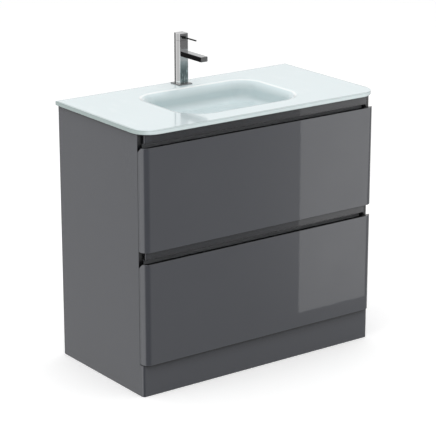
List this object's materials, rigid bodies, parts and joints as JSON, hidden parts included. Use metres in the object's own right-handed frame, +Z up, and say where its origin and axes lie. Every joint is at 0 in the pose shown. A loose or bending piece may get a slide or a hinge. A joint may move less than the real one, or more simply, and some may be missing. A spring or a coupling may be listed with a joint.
{
  "type": "bathroom vanity cabinet",
  "caption": "Floor-standing gloss grey vanity cabinet with handleless rounded drawers, recessed finger channels, moulded glass basin top and square mixer tap.",
  "frame": {"origin": "on the floor, under the middle of the basin top's outline", "axes": "+Z up from the floor, +Y towards the wall so the drawers face -Y, +X to the right as seen from the front"},
  "size_m": [0.916, 0.49, 1.0196],
  "materials": {
    "gloss_grey_lacquer": "high gloss dark grey lacquer on board",
    "carcass_board": "light grey melamine board",
    "hardboard": "bare hardboard, smooth",
    "drawer_board": "matt pale grey melamine board",
    "basin_glass": "opaque white moulded glass with a pale aqua tint, polished",
    "tap_chrome": "polished chrome plate on brass",
    "runner_steel": "bright zinc plated sheet steel",
    "screw_steel": "zinc plated",
    "block_plastic": "moulded grey plastic",
    "buffer_plastic": "soft clear plastic",
    "aerator_plastic": "moulded grey plastic",
    "cartridge_plastic": "moulded white plastic",
    "nut_brass": "turned brass",
    "seal_rubber": "black rubber",
    "trap_plastic": "moulded white plastic, satin"
  },
  "bodies": {
    "root": {"side_panel_left": "gloss_grey_lacquer", "side_panel_right": "gloss_grey_lacquer", "base_panel": "carcass_board", "plinth_front": "gloss_grey_lacquer", "plinth_blocks": "block_plastic", "middle_channel_rail": "gloss_grey_lacquer", "upper_channel_rail": "gloss_grey_lacquer", "back_rail_lower": "carcass_board", "back_rail_middle": "carcass_board", "back_rail_upper": "carcass_board", "back_panel": "hardboard", "cam_fittings": "screw_steel", "wall_brackets": "runner_steel", "carcass_screws": "screw_steel", "lower_runner_fixed_members": "runner_steel", "upper_runner_fixed_members": "runner_steel", "basin_top": "basin_glass", "tap_base_plate": "tap_chrome", "tap_body": "tap_chrome", "tap_spout": "tap_chrome", "tap_aerator": "aerator_plastic", "tap_cartridge": "cartridge_plastic", "tap_stud": "screw_steel", "tap_clamp_plate": "runner_steel", "tap_nut": "nut_brass", "waste_body": "tap_chrome", "waste_seal": "seal_rubber", "waste_locknut": "trap_plastic", "trap_inlet_tube": "trap_plastic", "trap_inlet_nut": "trap_plastic", "trap_body": "trap_plastic", "trap_cup": "trap_plastic", "trap_nuts": "trap_plastic", "trap_outlet_tube": "trap_plastic"},
    "upper_drawer": {"upper_drawer_front": "gloss_grey_lacquer", "upper_drawer_inner_front": "drawer_board", "upper_drawer_side_left": "drawer_board", "upper_drawer_side_right": "drawer_board", "upper_drawer_bottom": "drawer_board", "upper_drawer_buffers": "buffer_plastic", "upper_drawer_screws": "screw_steel", "upper_runner_drawer_members": "runner_steel", "upper_drawer_backs": "drawer_board", "upper_drawer_bay_sides": "drawer_board", "upper_drawer_bay_front": "drawer_board"},
    "lower_drawer": {"lower_drawer_front": "gloss_grey_lacquer", "lower_drawer_inner_front": "drawer_board", "lower_drawer_side_left": "drawer_board", "lower_drawer_side_right": "drawer_board", "lower_drawer_bottom": "drawer_board", "lower_drawer_buffers": "buffer_plastic", "lower_drawer_screws": "screw_steel", "lower_runner_drawer_members": "runner_steel", "lower_drawer_back": "drawer_board"},
    "upper_runner_middle": {"upper_runner_middle_members": "runner_steel"},
    "lower_runner_middle": {"lower_runner_middle_members": "runner_steel"},
    "tap_swivel": {"tap_turret": "cartridge_plastic"},
    "tap_handle": {"tap_handle_cap": "tap_chrome", "tap_lever": "tap_chrome"},
    "waste_plug": {"waste_plug": "tap_chrome"}
  },
  "joints": [
    {"name": "upper_drawer_slide", "type": "slide", "parent": "root", "child": "upper_drawer", "axis": [0, -1, 0], "range_m": [0, 0.38]},
    {"name": "lower_drawer_slide", "type": "slide", "parent": "root", "child": "lower_drawer", "axis": [0, -1, 0], "range_m": [0, 0.38]},
    {"name": "upper_runner_slide", "type": "slide", "parent": "root", "child": "upper_runner_middle", "axis": [0, -1, 0], "range_m": [0, 0.19]},
    {"name": "lower_runner_slide", "type": "slide", "parent": "root", "child": "lower_runner_middle", "axis": [0, -1, 0], "range_m": [0, 0.19]},
    {"name": "tap_swivel_turn", "type": "hinge", "parent": "root", "child": "tap_swivel", "pos_m": [0, 0.209, 0.996], "axis": [0, 0, 1], "range_deg": [-45, 45]},
    {"name": "tap_handle_lift", "type": "hinge", "parent": "tap_swivel", "child": "tap_handle", "pos_m": [0, 0.2255, 0.9966], "axis": [-1, 0, 0], "range_deg": [0, 20]},
    {"name": "waste_plug_lift", "type": "slide", "parent": "root", "child": "waste_plug", "axis": [0, 0, 1], "range_m": [0, 0.008]}
  ],
  "couplings": [
    {"joint": "upper_runner_slide", "follows": "upper_drawer_slide", "ratio": 0.5},
    {"joint": "lower_runner_slide", "follows": "lower_drawer_slide", "ratio": 0.5}
  ]
}
